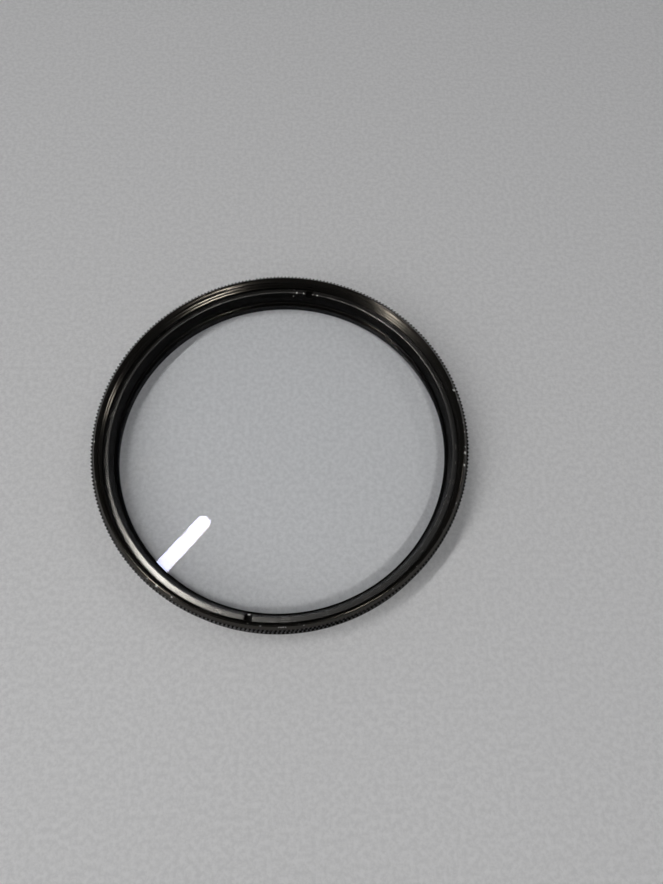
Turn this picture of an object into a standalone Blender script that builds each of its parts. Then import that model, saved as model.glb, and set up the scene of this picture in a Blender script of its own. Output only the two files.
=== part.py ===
"""Screw-in lens filter, 55 mm: a knurled frame ring, a clear glass disc and the threaded ring that holds it.

The axis is +Z, the front (the side with the female thread) is up, and the rear end stands on z = 0.
Each solid is a set of closed loops round the axis, joined in the order of its profile:
down the outside, in along the bottom, up the inside and back out along the top.
"""

from math import cos, pi, radians, sin, tau

import bmesh
import bpy

MM = 0.001

# Standard filter thread, M55 x 0.75, female in front and male behind
THREAD_MAJOR_R = 27.5 * MM
THREAD_PITCH = 0.75 * MM
FEMALE_THREAD_DEPTH = 0.5413 * THREAD_PITCH
MALE_THREAD_DEPTH = 0.6134 * THREAD_PITCH
FEMALE_MINOR_R = THREAD_MAJOR_R - FEMALE_THREAD_DEPTH
MALE_MINOR_R = THREAD_MAJOR_R - MALE_THREAD_DEPTH

# Frame ring
TOTAL_HEIGHT = 7.8 * MM
SHOULDER_Z = 2.4 * MM
SHOULDER_INNER_R = THREAD_MAJOR_R + 0.1 * MM
KNURL_TIP_R = 28.5 * MM
KNURL_DEPTH = 0.3 * MM
KNURL_TEETH = 300
KNURL_BOTTOM_Z = 4.2 * MM
KNURL_RUN_OUT = 0.15 * MM
RIM_EDGE_R = 27.75 * MM
RIM_CONE_R = 28.15 * MM
RIM_CONE_HEIGHT = 0.65 * MM
SHOULDER_CHAMFER = 0.25 * MM
SHOULDER_R = KNURL_TIP_R - SHOULDER_CHAMFER
ENTRY_R = THREAD_MAJOR_R + 0.05 * MM
FRONT_TURNS = 5
REAR_TURNS = 2
NECK_R = 26.95 * MM
NECK_HEIGHT = 0.35 * MM
NECK_RELIEF = 0.15 * MM
NECK_FLANK = 0.3 * MM
REAR_END_R = 27.0 * MM
REAR_BORE_R = 26.1 * MM
LIP_R = 25.65 * MM
LIP_BOTTOM_Z = 1.3 * MM
SEAT_Z = 1.8 * MM
POCKET_R = 26.4 * MM
POCKET_TOP_Z = 3.3 * MM

# Glass disc
GAP = 0.3 * MM
GLASS_R = 26.1 * MM
GLASS_THICKNESS = 1.5 * MM
GLASS_CHAMFER = 0.15 * MM

# Retaining ring
RETAINER_TOP_Z = 5.55 * MM
RETAINER_R = 27.03 * MM
RETAINER_TOP_INNER_R = 26.35 * MM
RETAINER_BOTTOM_INNER_R = 25.7 * MM
RETAINER_CHAMFER = 0.12 * MM
NOTCH_WIDTH = 1.1 * MM
NOTCH_DEPTH = 0.7 * MM
NOTCH_ANGLE = radians(81.5)

SEGMENTS = 100
SHARP_ANGLE = radians(25)


def clear_scene():
    for obj in list(bpy.data.objects):
        bpy.data.objects.remove(obj)


def material(name, color, metallic, roughness, transmission=0.0, alpha=1.0):
    made = bpy.data.materials.new(name)
    made.use_nodes = True
    shader = made.node_tree.nodes["Principled BSDF"]
    shader.inputs["Base Color"].default_value = (*color, 1.0)
    shader.inputs["Metallic"].default_value = metallic
    shader.inputs["Roughness"].default_value = roughness
    shader.inputs["Transmission Weight"].default_value = transmission
    shader.inputs["Alpha"].default_value = alpha
    return made


def circle(radius, z, count=SEGMENTS):
    """The points of one loop round the axis, counter-clockwise seen from the front."""
    return [(radius * cos(tau * k / count), radius * sin(tau * k / count), z) for k in range(count)]


def knurl(z):
    """A loop with a tip and a root for each tooth of the straight knurl."""
    points = []
    for k in range(2 * KNURL_TEETH):
        radius = KNURL_TIP_R - KNURL_DEPTH * (k % 2)
        angle = pi * k / KNURL_TEETH
        points.append((radius * cos(angle), radius * sin(angle), z))
    return points


def join_loops(bm, first, second):
    """Faces from one loop to the next; one loop's count is a multiple of the other's."""
    steps = min(len(first), len(second))
    a_step = len(first) // steps
    b_step = len(second) // steps
    for k in range(steps):
        a_side = [first[(k * a_step + i) % len(first)] for i in range(a_step, -1, -1)]
        b_side = [second[(k * b_step + i) % len(second)] for i in range(b_step + 1)]
        bm.faces.new(b_side + a_side)


def turned(name, loops, finish, z):
    """A closed ring through the loops, whose heights are world heights, with its origin at height z."""
    bm = bmesh.new()
    rows = [[bm.verts.new((x, y, height - z)) for x, y, height in points] for points in loops]
    for row, following in zip(rows, rows[1:] + rows[:1]):
        join_loops(bm, row, following)
    return finished(name, bm, finish, z)


def disc(name, profile, finish, z):
    """A solid disc: its profile runs down the outside, and a flat face closes each end."""
    bm = bmesh.new()
    rows = []
    for radius, height in profile:
        rows.append([bm.verts.new((x, y, h - z)) for x, y, h in circle(radius, height)])
    for row, following in zip(rows, rows[1:]):
        join_loops(bm, row, following)
    bm.faces.new(rows[0])
    bm.faces.new(reversed(rows[-1]))
    return finished(name, bm, finish, z)


def finished(name, bm, finish, z):
    mesh = bpy.data.meshes.new(name)
    bm.to_mesh(mesh)
    bm.free()
    mesh.shade_smooth()
    mesh.set_sharp_from_angle(angle=SHARP_ANGLE)
    mesh.materials.append(finish)
    obj = bpy.data.objects.new(name, mesh)
    obj.location.z = z
    bpy.context.collection.objects.link(obj)
    return obj


def thread_down(crest_r, root_r, top_z, turns):
    """(radius, z) pairs of the thread's rings, from the first crest down to the last."""
    points = [(crest_r, top_z)]
    for turn in range(turns):
        crest_z = top_z - turn * THREAD_PITCH
        points.append((root_r, crest_z - THREAD_PITCH / 2))
        points.append((crest_r, crest_z - THREAD_PITCH))
    return points


def frame_ring(finish):
    """The turned body: rim, knurl, collar and male thread outside; seat and female thread inside."""
    grip_top = TOTAL_HEIGHT - RIM_CONE_HEIGHT
    collar_bottom = SHOULDER_Z + SHOULDER_CHAMFER
    front_crest_z = TOTAL_HEIGHT - (ENTRY_R - FEMALE_MINOR_R)
    rear_crest_z = SHOULDER_Z - NECK_HEIGHT - NECK_FLANK

    loops = [circle(RIM_EDGE_R, TOTAL_HEIGHT), circle(RIM_CONE_R, grip_top)]
    loops += [knurl(grip_top), knurl(KNURL_BOTTOM_Z)]
    loops += [circle(KNURL_TIP_R, KNURL_BOTTOM_Z - KNURL_RUN_OUT, 2 * KNURL_TEETH)]
    loops += [circle(KNURL_TIP_R, collar_bottom), circle(SHOULDER_R, SHOULDER_Z)]
    loops += [circle(SHOULDER_INNER_R, SHOULDER_Z)]
    loops += [circle(NECK_R, SHOULDER_Z + NECK_RELIEF), circle(NECK_R, SHOULDER_Z - NECK_HEIGHT)]

    rear = thread_down(THREAD_MAJOR_R, MALE_MINOR_R, rear_crest_z, REAR_TURNS)
    loops += [circle(radius, z) for radius, z in rear]
    loops += [circle(REAR_END_R, 0.0), circle(REAR_BORE_R, 0.0), circle(REAR_BORE_R, LIP_BOTTOM_Z)]

    loops += [circle(LIP_R, LIP_BOTTOM_Z), circle(LIP_R, SEAT_Z)]
    loops += [circle(POCKET_R, SEAT_Z), circle(POCKET_R, POCKET_TOP_Z)]
    loops += [circle(FEMALE_MINOR_R, POCKET_TOP_Z)]
    front = thread_down(FEMALE_MINOR_R, THREAD_MAJOR_R, front_crest_z, FRONT_TURNS)
    loops += [circle(radius, z) for radius, z in reversed(front)]
    loops += [circle(ENTRY_R, TOTAL_HEIGHT)]
    return turned("frame_ring", loops, finish, 0.0)


def glass_disc(finish):
    """The plane-parallel clear disc, with its edges broken."""
    bottom = SEAT_Z + GAP
    top = bottom + GLASS_THICKNESS
    profile = [
        (GLASS_R - GLASS_CHAMFER, top),
        (GLASS_R, top - GLASS_CHAMFER),
        (GLASS_R, bottom + GLASS_CHAMFER),
        (GLASS_R - GLASS_CHAMFER, bottom),
    ]
    return disc("glass_disc", profile, finish, bottom)


def notch_cutter(bottom_z):
    """A bar across the ring, which cuts both spanner notches."""
    bm = bmesh.new()
    bmesh.ops.create_cube(bm, size=1.0)
    size = (3 * RETAINER_R, NOTCH_WIDTH, 2 * NOTCH_DEPTH)
    bmesh.ops.scale(bm, vec=size, verts=bm.verts)
    mesh = bpy.data.meshes.new("notch_cutter")
    bm.to_mesh(mesh)
    bm.free()
    cutter = bpy.data.objects.new("notch_cutter", mesh)
    cutter.location.z = RETAINER_TOP_Z - bottom_z
    cutter.rotation_euler.z = NOTCH_ANGLE
    cutter.hide_render = True
    cutter.display_type = "WIRE"
    bpy.context.collection.objects.link(cutter)
    return cutter


def retaining_ring(finish):
    """The thin ring that screws down on the glass; its inside is a cone, and two notches take the spanner."""
    bottom = SEAT_Z + GAP + GLASS_THICKNESS + GAP
    loops = [
        circle(RETAINER_R - RETAINER_CHAMFER, RETAINER_TOP_Z),
        circle(RETAINER_R, RETAINER_TOP_Z - RETAINER_CHAMFER),
        circle(RETAINER_R, bottom),
        circle(RETAINER_BOTTOM_INNER_R, bottom),
        circle(RETAINER_TOP_INNER_R, RETAINER_TOP_Z),
    ]
    ring = turned("retaining_ring", loops, finish, bottom)
    cutter = notch_cutter(bottom)
    cutter.parent = ring
    notches = ring.modifiers.new("spanner_notches", "BOOLEAN")
    notches.object = cutter
    notches.operation = "DIFFERENCE"
    return ring


def main():
    clear_scene()
    axis = bpy.data.objects.new("filter_axis", None)
    bpy.context.collection.objects.link(axis)
    frame_black = material("frame_black", (0.018, 0.017, 0.016), 0.9, 0.34)
    retainer_black = material("retainer_black", (0.030, 0.029, 0.028), 0.9, 0.42)
    clear_glass = material("clear_glass", (0.93, 0.95, 0.98), 0.0, 0.02, 1.0, 0.3)
    for part in (frame_ring(frame_black), glass_disc(clear_glass), retaining_ring(retainer_black)):
        part.parent = axis


main()
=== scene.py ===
"""A screw-in lens filter, 55 mm: a knurled frame ring, a glass disc and the threaded ring that holds it.

The axis is +Z and the front is up. Each piece is swept round the axis from rows of points.
A thread's rows climb with the angle, so it is a true right-hand helix that closes on itself at the seam.
"""

from math import cos, pi, radians, sin, tau

import bmesh
import bpy
import numpy as np
from mathutils import Matrix, Vector


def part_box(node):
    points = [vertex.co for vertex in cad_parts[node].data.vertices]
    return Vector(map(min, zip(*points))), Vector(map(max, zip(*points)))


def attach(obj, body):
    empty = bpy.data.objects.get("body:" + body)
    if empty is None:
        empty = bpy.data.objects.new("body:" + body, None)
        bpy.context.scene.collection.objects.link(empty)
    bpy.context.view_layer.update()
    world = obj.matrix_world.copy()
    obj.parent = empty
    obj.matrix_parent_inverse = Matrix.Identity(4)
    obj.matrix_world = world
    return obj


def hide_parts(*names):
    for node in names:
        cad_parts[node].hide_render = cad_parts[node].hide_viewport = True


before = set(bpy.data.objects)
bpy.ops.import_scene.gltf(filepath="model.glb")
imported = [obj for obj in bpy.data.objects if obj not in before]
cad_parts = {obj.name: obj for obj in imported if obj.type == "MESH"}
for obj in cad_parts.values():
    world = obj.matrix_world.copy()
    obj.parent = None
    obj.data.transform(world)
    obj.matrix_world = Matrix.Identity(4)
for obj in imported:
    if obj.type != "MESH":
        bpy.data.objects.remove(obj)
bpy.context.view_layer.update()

MM = 0.001
frame_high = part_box("frame_ring")[1]
glass_low, glass_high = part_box("glass_disc")
ring_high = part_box("retaining_ring")[1]

# Standard filter thread, M55 x 0.75; a share is of one pitch, and a slope is radius over height
PITCH = 0.75 * MM
THREAD_MAJOR_R = 27.5 * MM
CREST_SHARE = 0.42
FLANK_SHARE = 0.27
THREAD_DEPTH = FLANK_SHARE * PITCH * 3**0.5
FEMALE_MINOR_R = THREAD_MAJOR_R - THREAD_DEPTH
CREST_ROUNDING = 0.03
FLANK_MARGIN = 0.012
RUN_OUT_SLOPE = 1.2
FRONT_CREST_WORN = 0.35
REAR_CREST_WORN = 0.5
FRONT_START = radians(189)
REAR_START = radians(40)

# Frame ring
TOP_Z = frame_high.z
TIP_R = frame_high.x
KNURL_TEETH = 300
KNURL_DEPTH = 0.3 * MM
KNURL_TIP_SHARE = 0.14
KNURL_ROOT_SHARE = 0.3
KNURL_TOP_Z = TOP_Z - 0.66 * MM
KNURL_BOTTOM_Z = 4.2 * MM
KNURL_RUN_OUT = 0.15 * MM
DENT_DEGREES = 100.9
DENT_REACH_DEGREES = 0.7
DENT_DEPTH = 0.16 * MM
RIM_INNER_R = THREAD_MAJOR_R + 0.05 * MM
RIM_EDGE_R = 27.72 * MM
RIM_CONE_R = 28.18 * MM
RIM_CUT = 0.03 * MM
RIM_EDGE_CUT = 0.12 * MM
TOOTH_CUT = 0.06 * MM
SHOULDER_CHAMFER = 0.25 * MM
SHOULDER_EDGE_R = TIP_R - SHOULDER_CHAMFER
EDGE_CUT = 0.05 * MM
SHOULDER_Z = 2.4 * MM
SHOULDER_INNER_R = THREAD_MAJOR_R + 0.1 * MM
NECK_R = 26.95 * MM
NECK_RELIEF = 0.15 * MM
NECK_HEIGHT = 0.35 * MM
REAR_END_R = 27.0 * MM
REAR_BORE_R = 26.1 * MM
LIP_R = 25.65 * MM
LIP_BOTTOM_Z = 1.6 * MM
POCKET_R = 26.35 * MM
POCKET_TOP_Z = 3.3 * MM

# The glass lies on the seat and the retaining ring lies on the glass, apart from a hair's breadth
HAIR_GAP = 0.02 * MM
SEAT_Z = glass_low.z - HAIR_GAP
RING_BOTTOM_Z = glass_high.z + HAIR_GAP
GLASS_R = glass_high.x + 0.15 * MM
GLASS_BEVEL = 0.2 * MM
GLASS_COLUMNS = 361
GLASS_FLAT_SHARE = 0.5

# Retaining ring
RING_TOP_Z = ring_high.z
RING_EDGE_R = 27.25 * MM
RING_TOP_INNER_R = 26.35 * MM
RING_BOTTOM_INNER_R = 25.7 * MM
RING_MIDDLE_R = (RING_TOP_INNER_R + RING_EDGE_R) / 2
RING_FACE_R = RING_EDGE_R - 0.3 * MM
RING_END_R = RING_EDGE_R - 0.35 * MM
RING_BEVEL = 0.24 * MM
RING_EDGE_SLOPE = 0.6
RING_COLUMNS = 721
RING_EDGE_WORN = 0.35
THREAD_PLAY = 0.06 * MM
NOTCH_WIDTH = 1.1 * MM
NOTCH_DEPTH = 0.7 * MM
NOTCH_CORNER = 0.22 * MM
NOTCH_EDGE = 0.08 * MM
NOTCH_ANGLES = (radians(81.5), radians(261.5))
NOTCH_WALL = 0.002 * MM
NOTCH_WORN_REACH = 1.6 * MM
EDGE_NICK_R = 26.4 * MM
LOW_NICK_R = 26.15 * MM

CUT_END_WORN = 0.4
LEVEL_TOLERANCE = 1e-9
MERGE_DISTANCE = 1e-7
SHARP_ANGLE = radians(42)

# Finishes; a colour is linear red, green and blue, and a pair of roughnesses is the lowest and the highest
ANODISED_BLACK = (0.002, 0.0019, 0.0018)
# The cut colours go on faces that turn upwards, and the cone colour on the rim's cone: partly a smoother cut
# finish, partly a painted sheen where the lamps fall
FRAME_CUT_AND_SHEEN_COLOR = (0.05, 0.045, 0.038)
RING_CUT_AND_SHEEN_COLOR = (0.21, 0.203, 0.193)
CONE_CUT_AND_SHEEN_COLOR = (0.075, 0.07, 0.063)
DUST_COLOR = (0.012, 0.0115, 0.011)
BARE_METAL_COLOR = (0.9, 0.89, 0.87)
FRAME_ROUGHNESS = (0.14, 0.19)
RING_ROUGHNESS = (0.23, 0.28)
CONE_ROUGHNESS = 0.15
BARE_ROUGHNESS = 0.3
BARE_METALLIC = 0.2
FRAME_WORN_SHARE = 0.34
RING_WORN_SHARE = 0.36
LATHE_MARKS_PER_MM = 9.0
MARKS_ROUND_PER_METRE = 40.0
GLASS_TINT = (0.985, 0.99, 1.0)
CLEAR_TINT = (0.975, 0.98, 0.985)
SMEAR_ROUGHNESS = 0.035

# Floor, lamps and camera; the camera's place is in outer radii from the top of the knurl
FLOOR_HALF_SIZE = 1.5
FLOOR_DARK = (0.73, 0.735, 0.755)
FLOOR_LIGHT = (0.84, 0.845, 0.865)
LAMP_HEIGHT = 0.60
LAMP_END_STEPS = 16
LAMP_COLOR = (1.0, 0.985, 0.96)
ROOM_COLOR = (0.93, 0.96, 1.0)
ROOM_STRENGTH = 0.09
SENSOR_WIDTH_MM = 36.0
LENS_MM = 25.45
CLIP_START = 0.005
CAMERA_PLACE = Vector((0.2155, -1.157, 3.115))
CAMERA_TURNS = ((-2.68, "Z"), (19.902, "X"), (2.85, "Z"))


# Rows of points and the pieces swept from them


def row(radius, z, angles, worn=0.0):
    """One loop of points round the axis, with how worn each is.

    Its last point closes the loop or starts the next turn.
    """
    count = len(angles)
    points = np.empty((count, 4))
    points[:, 0] = radius * np.cos(angles)
    points[:, 1] = radius * np.sin(angles)
    points[:, 2] = z
    points[:, 3] = worn
    return points


def outline(corners, steps=3):
    """The (radius, z, worn) points of an outline, from its corners (radius, z, cut).

    A corner is made round where its cut isn't 0.
    """
    points = []
    for index, (radius, z, cut) in enumerate(corners):
        corner = Vector((radius, z))
        if cut == 0.0:
            points.append((radius, z, 0.0))
            continue
        before = Vector(corners[index - 1][:2]) - corner
        after = Vector(corners[index + 1][:2]) - corner
        start = corner + before.normalized() * cut
        end = corner + after.normalized() * cut
        for step in range(steps + 1):
            t = step / steps
            place = start * (1 - t) ** 2 + corner * 2 * t * (1 - t) + end * t**2
            points.append((place.x, place.y, 1.0 if 0 < step < steps else CUT_END_WORN))
    return points


def thread_groove(phase):
    """How deep in the groove a point is, from 0 on the crest to 1 at the root.

    The phase goes from 0 to 1 over one pitch.
    """
    depth = 0.0
    for shift in (-CREST_ROUNDING, 0.0, CREST_ROUNDING):
        along = np.mod(phase + shift, 1.0)
        flanks = np.minimum(along - CREST_SHARE, 1.0 - along) / FLANK_SHARE
        depth = depth + np.clip(flanks, 0.0, 1.0) / 3
    return depth


def thread_phases():
    """The places along one pitch where the thread's outline turns.

    Each flank has one more just inside each of its ends, which keeps it flat.
    """
    corners = (0.0, CREST_SHARE, CREST_SHARE + FLANK_SHARE, 1.0 - FLANK_SHARE)
    shifts = (-CREST_ROUNDING, 0.0, CREST_ROUNDING)
    places = [corner + shift for corner in corners for shift in shifts]
    margin = CREST_ROUNDING + FLANK_MARGIN
    places += [corners[0] - margin, corners[1] + margin, corners[2] - margin, corners[3] + margin]
    return sorted(place % 1.0 for place in places)


def thread_phase(angles, z, start):
    """The phase of a front-facing helix whose groove runs out of the rim plane at the angle start."""
    middle = CREST_SHARE + FLANK_SHARE + (1.0 - CREST_SHARE - 2 * FLANK_SHARE) / 2
    return middle + (z - TOP_Z) / PITCH - (angles - start) / tau


def helix_rows(low, high, start, radius_at, angles):
    """Rows that climb one pitch a turn, from low to high.

    The surface is radius_at(angles, z), which gives the radius and how worn the point is.
    """
    middle = thread_phase(start, TOP_Z, start)
    first = int(np.floor((np.min(low) - TOP_Z) / PITCH)) - 3
    last = int(np.ceil((np.max(high) - TOP_Z) / PITCH)) + 2
    rows = []
    for turn in range(first, last):
        for phase in thread_phases():
            z = TOP_Z + PITCH * (turn + phase - middle + (angles - start) / tau)
            z = np.clip(z, low, high)
            radius, worn = radius_at(angles, z)
            rows.append(row(radius, z, angles, worn))
    return rows


def join(first, second, first_at, second_at):
    """The faces between two rows, where one has a whole number of times the other's points."""
    steps = min(len(first), len(second)) - 1
    a_step = (len(first) - 1) // steps
    b_step = (len(second) - 1) // steps
    faces = []
    for k in range(steps):
        a_side = [first_at + k * a_step + i for i in range(a_step, -1, -1)]
        b_side = [second_at + k * b_step + i for i in range(b_step + 1)]
        faces.append(b_side + a_side)
    return faces


def swept(name, rows, closed=True):
    """A piece through the rows, which run down the outside, in along the bottom and up the inside."""
    starts = np.concatenate([[0], np.cumsum([len(points) for points in rows])])
    faces = []
    pairs = list(zip(range(len(rows)), range(1, len(rows))))
    if closed:
        pairs.append((len(rows) - 1, 0))
    for a, b in pairs:
        faces += join(rows[a], rows[b], int(starts[a]), int(starts[b]))
    if not closed:
        faces.append(list(range(len(rows[0]) - 1)))
        faces.append([int(starts[-2]) + i for i in range(len(rows[-1]) - 1, 0, -1)])
    points = np.concatenate(rows)
    mesh = bpy.data.meshes.new(name)
    mesh.from_pydata(points[:, :3].tolist(), [], faces)
    worn = mesh.attributes.new("worn", "FLOAT", "POINT")
    worn.data.foreach_set("value", points[:, 3].astype(np.float32))

    bm = bmesh.new()
    bm.from_mesh(mesh)
    bmesh.ops.remove_doubles(bm, verts=bm.verts, dist=MERGE_DISTANCE)
    bm.to_mesh(mesh)
    bm.free()
    mesh.shade_smooth()
    mesh.set_sharp_from_angle(angle=SHARP_ANGLE)
    piece = bpy.data.objects.new(name, mesh)
    bpy.context.scene.collection.objects.link(piece)
    shading = piece.modifiers.new("flat_faces_stay_flat", "WEIGHTED_NORMAL")
    shading.keep_sharp = True
    return piece


# Frame ring


def frame_angles():
    """Four columns to every three teeth, so that each knurl column meets one."""
    return np.linspace(0.0, tau, 4 * KNURL_TEETH // 3 + 1)


def knurl_angles():
    """Four columns to a tooth: the two sides of its tip and of the root after it."""
    tooth = tau / KNURL_TEETH
    shares = np.array([0.0, KNURL_TIP_SHARE, 0.5, 0.5 + KNURL_ROOT_SHARE])
    angles = (np.arange(KNURL_TEETH)[:, None] + shares) * tooth
    return np.append(angles.ravel(), tau)


def knurl_row(z, cone_r, worn):
    """A row of the straight knurl, cut back to the cone that ends it, with one tooth dented."""
    angles = knurl_angles()
    column = np.arange(len(angles)) % 4
    radius = np.where(column < 2, TIP_R, TIP_R - KNURL_DEPTH)
    hit = np.abs(np.degrees(angles) - DENT_DEGREES) < DENT_REACH_DEGREES
    radius = np.where(hit, radius - DENT_DEPTH, radius)
    return row(np.minimum(radius, cone_r), z, angles, np.where(column < 2, worn, 0.0))


def knurl_rows():
    """The straight knurl, with flat tooth tops where the rim's cone ends."""
    rows = [knurl_row(KNURL_TOP_Z, RIM_CONE_R + RIM_CUT, 0.3)]
    for share, worn in ((0.0, 0.7), (1.0, 1.0), (4.0, 0.2)):
        rows.append(knurl_row(KNURL_TOP_Z - TOOTH_CUT * share, TIP_R - TOOTH_CUT * (1 - share), worn))
    rows.append(knurl_row(KNURL_BOTTOM_Z, TIP_R, 0.2))
    return rows


def collar_rows(angles):
    """The smooth band that closes the knurl's grooves, down to its chamfer at the shoulder."""
    chamfer_z = SHOULDER_Z + SHOULDER_CHAMFER
    corners = [
        (TIP_R, KNURL_BOTTOM_Z - KNURL_RUN_OUT, 0.0),
        (TIP_R, chamfer_z, EDGE_CUT),
        (SHOULDER_EDGE_R, SHOULDER_Z, 0.0),
    ]
    return plain_rows(corners, angles)


def female_surface(angles, z):
    """The front thread with its entry chamfer above and the pocket's run-out below."""
    groove = thread_groove(thread_phase(angles, z, FRONT_START))
    radius = FEMALE_MINOR_R + THREAD_DEPTH * groove
    entry = RIM_INNER_R - (TOP_Z - z)
    run_out = POCKET_R + RUN_OUT_SLOPE * (z - POCKET_TOP_Z)
    worn = FRONT_CREST_WORN * (1.0 - groove) ** 4
    return np.minimum(np.maximum(radius, entry), run_out), worn


def male_surface(angles, z):
    """The rear thread, which runs out into the neck above and a chamfer below."""
    groove = thread_groove(thread_phase(angles, z, REAR_START))
    radius = THREAD_MAJOR_R - THREAD_DEPTH * groove
    neck = NECK_R + RUN_OUT_SLOPE * (SHOULDER_Z - NECK_HEIGHT - z)
    chamfer = REAR_END_R + RUN_OUT_SLOPE * z
    worn = REAR_CREST_WORN * (1.0 - groove) ** 4
    return np.minimum(np.minimum(radius, neck), chamfer), worn


def plain_rows(corners, angles):
    """The rows of a turned outline, given by its corners."""
    return [row(radius, z, angles, worn) for radius, z, worn in outline(corners)]


def frame_ring():
    """The turned body: rim, knurl, collar and rear thread outside, and seat and front thread inside."""
    angles = frame_angles()
    entry_z = TOP_Z - RIM_CUT
    rim = [
        (RIM_INNER_R - 2 * RIM_CUT, TOP_Z - 2 * RIM_CUT, 0.0),
        (RIM_INNER_R, TOP_Z, RIM_CUT),
        (RIM_EDGE_R, TOP_Z, RIM_EDGE_CUT),
        (RIM_CONE_R, KNURL_TOP_Z, 0.0),
    ]
    shoulder = [
        (SHOULDER_EDGE_R, SHOULDER_Z, 0.0),
        (SHOULDER_INNER_R, SHOULDER_Z, EDGE_CUT),
        (NECK_R, SHOULDER_Z + NECK_RELIEF, EDGE_CUT),
        (NECK_R, SHOULDER_Z - NECK_HEIGHT, 0.0),
    ]
    inside = [
        (REAR_END_R, 0.0, 0.0),
        (REAR_BORE_R, 0.0, 2 * EDGE_CUT),
        (REAR_BORE_R, LIP_BOTTOM_Z, EDGE_CUT),
        (LIP_R, LIP_BOTTOM_Z, EDGE_CUT),
        (LIP_R, SEAT_Z, EDGE_CUT),
        (POCKET_R, SEAT_Z, EDGE_CUT),
        (POCKET_R, POCKET_TOP_Z, 0.0),
    ]
    rows = plain_rows(rim, angles)[1:]
    rows += knurl_rows()
    rows += collar_rows(angles)
    rows += plain_rows(shoulder, angles)[1:]
    rows += reversed(helix_rows(0.0, SHOULDER_Z - NECK_HEIGHT, REAR_START, male_surface, angles))
    rows += plain_rows(inside, angles)
    rows += helix_rows(POCKET_TOP_Z, entry_z, FRONT_START, female_surface, angles)
    return swept("frame_ring_turned", rows)


# Glass disc


def glass_disc():
    """The clear disc with its edges broken, closed by a flat face above and below."""
    angles = np.linspace(0.0, tau, GLASS_COLUMNS)
    bevel_r = GLASS_R - GLASS_BEVEL
    profile = [
        (bevel_r * GLASS_FLAT_SHARE, glass_high.z),
        (bevel_r, glass_high.z),
        (GLASS_R, glass_high.z - GLASS_BEVEL),
        (GLASS_R, glass_low.z + GLASS_BEVEL),
        (bevel_r, glass_low.z),
        (bevel_r * GLASS_FLAT_SHARE, glass_low.z),
    ]
    rows = [row(radius, z, angles) for radius, z in profile]
    return swept("glass_disc_polished", rows, closed=False)


# Retaining ring


def ring_angles():
    """Even columns, with more where a notch's walls and rounded corners need them."""
    half = NOTCH_WIDTH / 2
    offsets = [half - NOTCH_WALL, half + NOTCH_WALL]
    offsets += list(half - NOTCH_CORNER * np.linspace(0.15, 1.0, 5))
    offsets += list(half + NOTCH_EDGE * np.linspace(0.3, 1.0, 4))
    angles = list(np.linspace(0.0, tau, RING_COLUMNS))
    for notch in NOTCH_ANGLES:
        reach = (half + NOTCH_EDGE) / RING_MIDDLE_R
        angles = [angle for angle in angles if abs(angle - notch) > reach * 1.02]
        angles += [notch + side * offset / RING_MIDDLE_R for offset in offsets for side in (-1, 1)]
        angles.append(notch)
    return np.array(sorted(angles))


def ring_top(angles):
    """The height of the ring's face at each angle: flat, with two notches that have rounded corners."""
    height = np.full(len(angles), RING_TOP_Z)
    half = NOTCH_WIDTH / 2
    for notch in NOTCH_ANGLES:
        away = np.abs(angles - notch) * RING_MIDDLE_R
        corner = np.clip(away - (half - NOTCH_CORNER), 0.0, NOTCH_CORNER)
        floor = RING_TOP_Z - NOTCH_DEPTH + NOTCH_CORNER - np.sqrt(NOTCH_CORNER**2 - corner**2)
        edge = np.clip(half + NOTCH_EDGE - away, 0.0, NOTCH_EDGE)
        lip = RING_TOP_Z - NOTCH_EDGE + np.sqrt(NOTCH_EDGE**2 - edge**2)
        height = np.minimum(height, np.where(away < half, floor, lip))
    return height


def cone_r(z):
    """The ring's inside, which narrows towards the bevel above the glass."""
    bevel_z = RING_BOTTOM_Z + RING_BEVEL
    bevel_r = RING_BOTTOM_INNER_R + RING_BEVEL
    share = (z - bevel_z) / (RING_TOP_Z - bevel_z)
    return bevel_r + share * (RING_TOP_INNER_R - bevel_r)


def ring_surface(angles, z):
    """The ring's outside: the front thread's mate, with its ends chamfered."""
    radius = female_surface(angles, z)[0] - THREAD_PLAY
    top_end = RING_EDGE_R + (RING_TOP_Z - z)
    bottom_end = RING_END_R + (z - RING_BOTTOM_Z)
    return np.minimum(np.minimum(radius, top_end), bottom_end), 0.0


def retaining_ring():
    """The threaded ring with its inner cone; its edges are most worn in and beside the notches."""
    angles = ring_angles()
    top = ring_top(angles)
    worn = np.where(top < RING_TOP_Z - LEVEL_TOLERANCE, 1.0, RING_EDGE_WORN)
    for notch in NOTCH_ANGLES:
        beside = np.abs(angles - notch) * RING_EDGE_R < NOTCH_WORN_REACH
        worn = np.where(beside, 1.0, worn)

    rows = list(reversed(helix_rows(RING_BOTTOM_Z, top, FRONT_START, ring_surface, angles)))
    rows.append(row(RING_BOTTOM_INNER_R + RIM_CUT, RING_BOTTOM_Z, angles))
    rows.append(row(RING_BOTTOM_INNER_R, RING_BOTTOM_Z + RIM_CUT, angles, 0.5))
    bevel_z = RING_BOTTOM_Z + RING_BEVEL
    rows.append(row(cone_r(bevel_z) - RIM_CUT, bevel_z - RIM_CUT, angles))
    rows.append(row(cone_r(bevel_z), bevel_z, angles))
    rows.append(row(cone_r(bevel_z + EDGE_CUT), bevel_z + EDGE_CUT, angles))
    rows.append(row(cone_r(top - 3 * EDGE_CUT), top - 3 * EDGE_CUT, angles))
    for cut, part_worn in ((1.0, 0.4), (0.35, 1.0)):
        z = top - EDGE_CUT * cut
        rows.append(row(cone_r(z) + EDGE_CUT * (1 - cut) * RING_EDGE_SLOPE, z, angles, worn * part_worn))
    rows.append(row(cone_r(top) + EDGE_CUT, top, angles, worn))
    rows.append(row(cone_r(top) + 3 * EDGE_CUT, top, angles, worn * 0.2))
    rows.append(row(RING_FACE_R, top, angles))
    return swept("retaining_ring_turned", rows)


# Finishes


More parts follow.
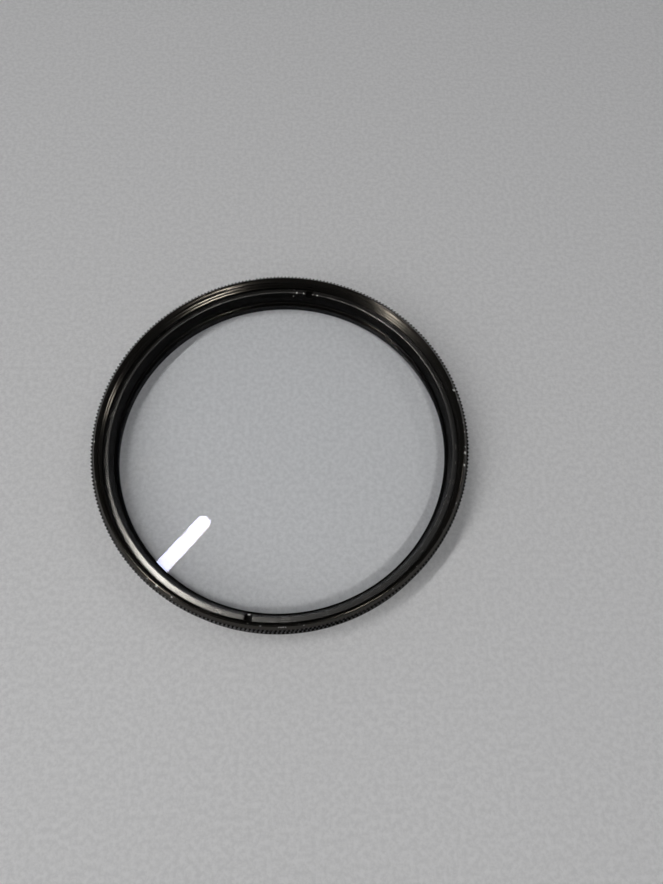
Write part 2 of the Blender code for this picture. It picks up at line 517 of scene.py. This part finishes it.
def add(tree, kind, inputs=(), **settings):
    """A shader node with its settings, and its inputs given as {socket: value or output socket}."""
    made = tree.nodes.new(kind)
    for name, value in settings.items():
        setattr(made, name, value)
    for name, value in dict(inputs).items():
        socket = made.inputs[name]
        if isinstance(value, bpy.types.NodeSocket):
            tree.links.new(value, socket)
        else:
            socket.default_value = value
    return made


def math(tree, operation, a, b=0.0, clamp=False):
    """The result of one calculation on numbers or sockets."""
    made = add(tree, "ShaderNodeMath", {0: a, 1: b}, operation=operation, use_clamp=clamp)
    return made.outputs["Value"]


def ramp(tree, value, low, high, to_low=0.0, to_high=1.0):
    """The value's span low to high, mapped smoothly to the new span."""
    inputs = {"Value": value, "From Min": low, "From Max": high, "To Min": to_low, "To Max": to_high}
    return add(tree, "ShaderNodeMapRange", inputs, interpolation_type="SMOOTHSTEP").outputs["Result"]


def noise(tree, vector, scale, detail=3.0, **inputs):
    """Even noise from 0 to 1, where scale is how many features there are to a metre."""
    inputs = {"Vector": vector, "Scale": scale, "Detail": detail, **inputs}
    return add(tree, "ShaderNodeTexNoise", inputs).outputs["Fac"]


def mix_color(tree, factor, a, b):
    """Colour a where the factor is 0 and b where it is 1; sockets 0, 6, 7 and 2 are the colour ones."""
    return add(tree, "ShaderNodeMix", {0: factor, 6: a, 7: b}, data_type="RGBA").outputs[2]


def new_finish(name):
    """A new material, with its node tree and its shader."""
    finish = bpy.data.materials.new(name)
    finish.use_nodes = True
    tree = finish.node_tree
    return finish, tree, tree.nodes["Principled BSDF"]


def axis_distance(tree, place):
    """How far from the axis a point is."""
    parts = add(tree, "ShaderNodeSeparateXYZ", {"Vector": place}).outputs
    flat = add(tree, "ShaderNodeCombineXYZ", {"X": parts["X"], "Y": parts["Y"]}).outputs["Vector"]
    return add(tree, "ShaderNodeVectorMath", {0: flat}, operation="LENGTH").outputs["Value"]


def turning_marks(tree, place, per_mm):
    """Fine lathe marks: noise that changes quickly with radius and height, and slowly round the axis."""
    parts = add(tree, "ShaderNodeSeparateXYZ", {"Vector": place}).outputs
    per_metre = per_mm / MM
    scaled = {
        "X": math(tree, "MULTIPLY", parts["X"], MARKS_ROUND_PER_METRE),
        "Y": math(tree, "MULTIPLY", parts["Y"], MARKS_ROUND_PER_METRE),
        "Z": math(tree, "MULTIPLY", parts["Z"], per_metre),
    }
    inputs = {
        "Vector": add(tree, "ShaderNodeCombineXYZ", scaled).outputs["Vector"],
        "W": math(tree, "MULTIPLY", axis_distance(tree, place), per_metre),
        "Scale": 1.0,
        "Detail": 2.0,
    }
    return add(tree, "ShaderNodeTexNoise", inputs, noise_dimensions="4D").outputs["Fac"]


def cut_and_sheen_faces(tree, place, lowest):
    """1 on the faces above a height that turn upwards, and 0 on the walls and the knurl; their lighter colour
    is partly a smoother cut finish and partly a painted sheen where the lamps fall.
    """
    normal = add(tree, "ShaderNodeTexCoord").outputs["Normal"]
    up = add(tree, "ShaderNodeSeparateXYZ", {"Vector": normal}).outputs["Z"]
    inside = ramp(tree, axis_distance(tree, place), RIM_CONE_R, RIM_CONE_R + RIM_CUT, 1.0, 0.0)
    height = add(tree, "ShaderNodeSeparateXYZ", {"Vector": place}).outputs["Z"]
    above = ramp(tree, height, lowest - RIM_CUT, lowest)
    facing_up_inside = math(tree, "MULTIPLY", ramp(tree, up, 0.3, 0.55), inside)
    return math(tree, "MULTIPLY", facing_up_inside, above)


def nick_mask(tree, place, nicks):
    """1 inside each nick, given as (angle, radius, z, size), with ragged edges."""
    ragged = noise(tree, place, 5.0 / MM, 3.0, Roughness=0.7)
    mask = None
    for angle, radius, z, size in nicks:
        centre = (radius * cos(angle), radius * sin(angle), z)
        away = add(tree, "ShaderNodeVectorMath", {0: place, 1: centre}, operation="DISTANCE").outputs["Value"]
        away = math(tree, "ADD", away, math(tree, "MULTIPLY", ragged, size * 1.6))
        spot = ramp(tree, away, size * 1.2, size * 1.4, 1.0, 0.0)
        mask = spot if mask is None else math(tree, "MAXIMUM", mask, spot)
    return mask


def anodised(name, cut_and_sheen_color, roughness, nicks, worn_share, cut_and_sheen_from):
    """Black anodised aluminium, turned round the axis, with bare metal where its edges have been knocked.

    Its faces above the given height that turn upwards take the lighter cut colour: partly a smoother cut
    finish, partly a painted sheen where the lamps fall.
    """
    finish, tree, shader = new_finish(name)
    place = add(tree, "ShaderNodeTexCoord").outputs["Object"]
    marks = turning_marks(tree, place, LATHE_MARKS_PER_MM)
    patches = noise(tree, place, 0.35 / MM, 3.0)
    # Painted sheen in part: faces turned upwards get a lighter, metallic colour, besides their smoother cut
    # finish
    cut = cut_and_sheen_faces(tree, place, cut_and_sheen_from)

    dust = ramp(tree, noise(tree, place, 5.0 / MM, 1.0), 0.72, 0.8)
    black = mix_color(tree, dust, (*ANODISED_BLACK, 1), (*DUST_COLOR, 1))
    # The rim's cone takes its own lighter colour, which is partly a painted sheen
    on_cone = ramp(tree, axis_distance(tree, place), RIM_EDGE_R, RIM_EDGE_R + RIM_CUT)
    cut_and_sheen_tone = mix_color(tree, on_cone, (*cut_and_sheen_color, 1), (*CONE_CUT_AND_SHEEN_COLOR, 1))
    surface = mix_color(tree, cut, black, cut_and_sheen_tone)
    worn = add(tree, "ShaderNodeAttribute", attribute_name="worn").outputs["Fac"]
    level = math(tree, "MULTIPLY", worn, noise(tree, place, 1.6 / MM, 5.0))
    bare = ramp(tree, level, 1.0 - worn_share, 1.08 - worn_share)
    bare = math(tree, "MAXIMUM", bare, nick_mask(tree, place, nicks))
    surface = mix_color(tree, bare, surface, (*BARE_METAL_COLOR, 1))
    tree.links.new(surface, shader.inputs["Base Color"])

    kept = math(tree, "SUBTRACT", 1.0, bare)
    bare_metal = math(tree, "MULTIPLY", bare, BARE_METALLIC)
    metal = math(tree, "ADD", math(tree, "MULTIPLY", cut, kept), bare_metal)
    tree.links.new(metal, shader.inputs["Metallic"])
    low, high = roughness
    uneven = math(tree, "ADD", math(tree, "MULTIPLY", marks, 0.6), math(tree, "MULTIPLY", patches, 0.4))
    rough = ramp(tree, uneven, 0.3, 0.7, low, high)
    rough = math(tree, "ADD", rough, math(tree, "MULTIPLY", bare, BARE_ROUGHNESS), clamp=True)
    rough = math(tree, "ADD", rough, math(tree, "MULTIPLY", on_cone, CONE_ROUGHNESS), clamp=True)
    tree.links.new(rough, shader.inputs["Roughness"])
    bump = add(tree, "ShaderNodeBump", {"Strength": 0.2, "Distance": 0.002 * MM, "Height": marks})
    tree.links.new(bump.outputs["Normal"], shader.inputs["Normal"])
    tangent = add(tree, "ShaderNodeTangent", direction_type="RADIAL", axis="Z")
    tree.links.new(tangent.outputs["Tangent"], shader.inputs["Tangent"])
    shader.inputs["Anisotropic"].default_value = 0.4
    shader.inputs["Anisotropic Rotation"].default_value = 0.25
    shader.inputs["IOR"].default_value = 1.33
    shader.inputs["Specular IOR Level"].default_value = 0.12
    return finish


def clear_glass():
    """Polished glass with a faint coating and light wipe marks, which lets light through to the floor."""
    finish, tree, shader = new_finish("clear_coated_glass")
    place = add(tree, "ShaderNodeTexCoord").outputs["Object"]
    shader.inputs["Base Color"].default_value = (*GLASS_TINT, 1)
    shader.inputs["Transmission Weight"].default_value = 1.0
    shader.inputs["IOR"].default_value = 1.52
    shader.inputs["Thin Film Thickness"].default_value = 110.0
    shader.inputs["Thin Film IOR"].default_value = 1.38
    smear = noise(tree, place, 0.12 / MM, 4.0, Distortion=1.5)
    tree.links.new(ramp(tree, smear, 0.5, 0.75, 0.0, SMEAR_ROUGHNESS), shader.inputs["Roughness"])
    clear = add(tree, "ShaderNodeBsdfTransparent", {"Color": (*CLEAR_TINT, 1)})
    path = add(tree, "ShaderNodeLightPath").outputs
    bounced = {0: path["Is Diffuse Ray"], 1: shader.outputs["BSDF"], 2: clear.outputs["BSDF"]}
    lit = add(tree, "ShaderNodeMixShader", bounced)
    shadow = {0: path["Is Shadow Ray"], 1: lit.outputs["Shader"], 2: clear.outputs["BSDF"]}
    mixed = add(tree, "ShaderNodeMixShader", shadow)
    output = tree.nodes["Material Output"]
    tree.links.new(mixed.outputs["Shader"], output.inputs["Surface"])
    return finish


def frame_nicks():
    """Where the frame's outer rim has been knocked through to bare metal."""
    drop = 0.14 * MM
    rim_r = RIM_EDGE_R + drop * (RIM_CONE_R - RIM_EDGE_R) / (TOP_Z - KNURL_TOP_Z)
    marks = [(16, 0.5), (12.5, 0.28), (4.5, 0.22), (1.5, 0.2), (356.5, 0.24), (354.5, 0.46), (350.5, 0.36)]
    marks += [(338, 0.18), (182.5, 0.34), (195.5, 0.2), (230, 0.24), (233.5, 0.4), (239, 0.28)]
    marks += [(278, 0.12), (305.5, 0.13)]
    marks += [(angle, 0.17) for angle in (271.0, 271.6, 272.2, 272.9)]
    return [(radians(angle), rim_r, TOP_Z - drop, size * MM) for angle, size in marks]


def ring_nicks():
    """Where a spanner has slipped out of the notches: on the far one's edges, and as low as the floors. The
    spot on the near notch's floor is partly bare metal and partly a painted glint.
    """
    far, near = NOTCH_ANGLES
    floor_z = RING_TOP_Z - NOTCH_DEPTH
    edge = [(2.0, 0.16), (4.5, 0.24), (-1.3, 0.13), (-3.0, 0.16)]
    marks = [(far + radians(turn), EDGE_NICK_R, RING_TOP_Z, size * MM) for turn, size in edge]
    marks.append((far + radians(5.7), LOW_NICK_R, floor_z, 0.14 * MM))
    # Partly a painted glint: a bright spot on the near notch's floor edge, besides its bare metal
    marks.append((near, LOW_NICK_R, floor_z, 0.36 * MM))
    return marks


# Floor, lights and camera


def placed(name, bm, finish):
    """The mesh as a piece in the scene, with its finish."""
    mesh = bpy.data.meshes.new(name)
    bm.to_mesh(mesh)
    bm.free()
    mesh.materials.append(finish)
    piece = bpy.data.objects.new(name, mesh)
    bpy.context.scene.collection.objects.link(piece)
    return piece


def floor():
    """A pale matt floor that the filter lies on."""
    finish, tree, shader = new_finish("pale_floor")
    place = add(tree, "ShaderNodeTexCoord").outputs["Object"]
    speckle = noise(tree, place, 1.4 / MM, 5.0, Roughness=0.7)
    tone = mix_color(tree, ramp(tree, speckle, 0.35, 0.65), (*FLOOR_DARK, 1), (*FLOOR_LIGHT, 1))
    tree.links.new(tone, shader.inputs["Base Color"])
    shader.inputs["Roughness"].default_value = 0.55
    bump = add(tree, "ShaderNodeBump", {"Strength": 0.4, "Distance": 0.05 * MM, "Height": speckle})
    tree.links.new(bump.outputs["Normal"], shader.inputs["Normal"])
    bm = bmesh.new()
    bmesh.ops.create_grid(bm, x_segments=8, y_segments=8, size=FLOOR_HALF_SIZE)
    piece = placed("floor", bm, finish)


def strip_lamp(name, start, direction, length, width, strength):
    """A long ceiling lamp with round ends, which the glass mirrors as a white bar."""
    along = Vector((*direction, 0)).normalized()
    across = Vector((-along.y, along.x, 0))
    radius = width / 2
    points = []
    for end, turn in ((start, pi / 2), (start + along.xy * length, -pi / 2)):
        for step in range(LAMP_END_STEPS + 1):
            angle = turn + pi * step / LAMP_END_STEPS
            offset = along * radius * cos(angle) + across * radius * sin(angle)
            points.append((end.x + offset.x, end.y + offset.y, LAMP_HEIGHT))
    bm = bmesh.new()
    bm.faces.new([bm.verts.new(point) for point in reversed(points)])
    finish = bpy.data.materials.new("lamp_light")
    finish.use_nodes = True
    tree = finish.node_tree
    tree.nodes.clear()
    glow = add(tree, "ShaderNodeEmission", {"Color": (*LAMP_COLOR, 1), "Strength": strength})
    output = tree.nodes.new("ShaderNodeOutputMaterial")
    tree.links.new(glow.outputs["Emission"], output.inputs["Surface"])
    piece = placed(name, bm, finish)


def lights():
    """A dim room, one lamp mirrored on the left, and the two ends of a lamp mirrored on the right."""
    world = bpy.data.worlds.new("soft_room")
    world.use_nodes = True
    background = world.node_tree.nodes["Background"]
    background.inputs["Color"].default_value = (*ROOM_COLOR, 1)
    background.inputs["Strength"].default_value = ROOM_STRENGTH
    bpy.context.scene.world = world
    left = Vector((-0.126, 0.119))
    strip_lamp("left_lamp", left, (-0.645, -0.764), length=1.6, width=0.017, strength=44.0)
    right = Vector((0.475, 0.195))
    along = Vector((-0.594, -0.805))
    strip_lamp("right_lamp_far", right + along * 0.01, along, length=0.09, width=0.018, strength=46.0)
    strip_lamp("right_lamp_near", right + along * 0.455, along, length=0.12, width=0.018, strength=92.0)


def camera():
    """Looks down steeply at the filter from its near side, as a hand-held camera does."""
    data = bpy.data.cameras.new("camera")
    data.sensor_width = SENSOR_WIDTH_MM
    data.lens = LENS_MM
    data.clip_start = CLIP_START
    made = bpy.data.objects.new("camera", data)
    place = Matrix.Translation(CAMERA_PLACE * TIP_R + Vector((0, 0, KNURL_TOP_Z)))
    for degrees, axis in CAMERA_TURNS:
        place = place @ Matrix.Rotation(radians(degrees), 4, axis)
    made.matrix_world = place
    bpy.context.scene.collection.objects.link(made)
    bpy.context.scene.camera = made


def main():
    camera()
    bpy.context.scene.view_settings.view_transform = "Standard"
    floor()
    lights()

    body = frame_ring()
    body.data.materials.append(
        anodised("worn_black_anodised", FRAME_CUT_AND_SHEEN_COLOR, FRAME_ROUGHNESS, frame_nicks(),
                 FRAME_WORN_SHARE, 0.0)
    )
    ring = retaining_ring()
    above_notch_floors = RING_TOP_Z - NOTCH_DEPTH / 2
    ring.data.materials.append(
        anodised("satin_black_anodised", RING_CUT_AND_SHEEN_COLOR, RING_ROUGHNESS, ring_nicks(),
                 RING_WORN_SHARE, above_notch_floors)
    )
    disc = glass_disc()
    disc.data.materials.append(clear_glass())

    for piece, node, body_name, slot in (
        (body, "frame_ring", "frame", "frame_black"),
        (ring, "retaining_ring", "retainer", "retainer_black"),
        (disc, "glass_disc", "glass", "clear_glass"),
    ):
        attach(piece, body_name)
        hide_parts(node)


main()
